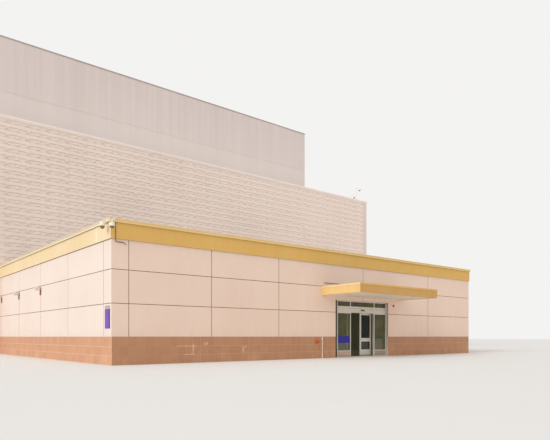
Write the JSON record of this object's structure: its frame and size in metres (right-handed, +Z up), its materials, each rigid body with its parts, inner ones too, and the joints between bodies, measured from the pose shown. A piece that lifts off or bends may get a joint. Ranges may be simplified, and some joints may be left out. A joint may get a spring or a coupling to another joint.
{
  "type": "supermarket building",
  "caption": "Supermarket building: low entrance wing with gold fascia, tiled base, canopy and sliding glass doors, before a tall relief-faced hall with a set-back upper storey.",
  "frame": {"origin": "on the ground, at the middle of the entrance, on the storefront's front face", "axes": "+X to the right along the front, +Y into the building, +Z up"},
  "size_m": [38.8548, 36.375, 22.3],
  "materials": {
    "facing": "satin exterior render with open joints",
    "tile": "glazed brown wall tile with pale joints",
    "gold_paint": "weathered gold paint",
    "wall_core": "painted masonry",
    "relief": "relief-cast concrete facing",
    "render": "smooth weather-streaked render",
    "roofing": "roof membrane",
    "floor_finish": "polished floor",
    "soffit": "painted soffit boards",
    "frame_metal": "clear anodised",
    "glass": "tinted float glass",
    "plate_blue": "bare enamelled plate",
    "camera_white": "moulded housing",
    "sensor_dark": "dark lens cover",
    "lamp": "painted lamp head",
    "red_metal": "red paint",
    "pale_pipe": "white paint",
    "flashing": "brown coated sheet",
    "pale_coping": "pale coated sheet",
    "dark_coping": "grey coated sheet"
  },
  "bodies": {
    "building": {"front_wall_left": "wall_core", "front_wall_right": "wall_core", "front_wall_over_entrance": "wall_core", "left_wall": "wall_core", "right_wall": "wall_core", "front_panels": "facing", "side_panels": "facing", "front_wainscot": "tile", "side_wainscot": "tile", "fascia": "gold_paint", "wing_coping": "gold_paint", "wing_roof": "roofing", "floor": "floor_finish", "canopy_deck": "roofing", "canopy_fascia": "gold_paint", "canopy_soffit": "soffit", "canopy_flashing": "flashing", "storefront_frame": "frame_metal", "storefront_glass": "glass", "door_header": "frame_metal", "door_sensor": "sensor_dark", "door_saddle": "frame_metal", "wall_lights": "lamp", "sign_plates": "plate_blue", "corner_cameras": "camera_white", "camera_conduit": "flashing", "hose_connection": "red_metal", "alarm": "red_metal", "service_pipe": "pale_pipe", "hall_front_lower": "relief", "hall_front_upper": "relief", "hall_side_walls": "relief", "hall_back_wall": "relief", "hall_roof": "roofing", "hall_coping": "pale_coping", "upper_front_wall": "render", "upper_side_walls": "render", "upper_back_wall": "render", "upper_roof": "roofing", "upper_coping": "dark_coping", "roof_cameras": "camera_white"},
    "left_door": {"left_door_frame": "frame_metal", "left_door_glass": "glass"},
    "right_door": {"right_door_frame": "frame_metal", "right_door_glass": "glass"}
  },
  "joints": [
    {"name": "left_door_slide", "type": "slide", "parent": "building", "child": "left_door", "axis": [1, 0, 0], "range_m": [0, 0.965]},
    {"name": "right_door_slide", "type": "slide", "parent": "building", "child": "right_door", "axis": [1, 0, 0], "range_m": [0, 0.965]}
  ]
}
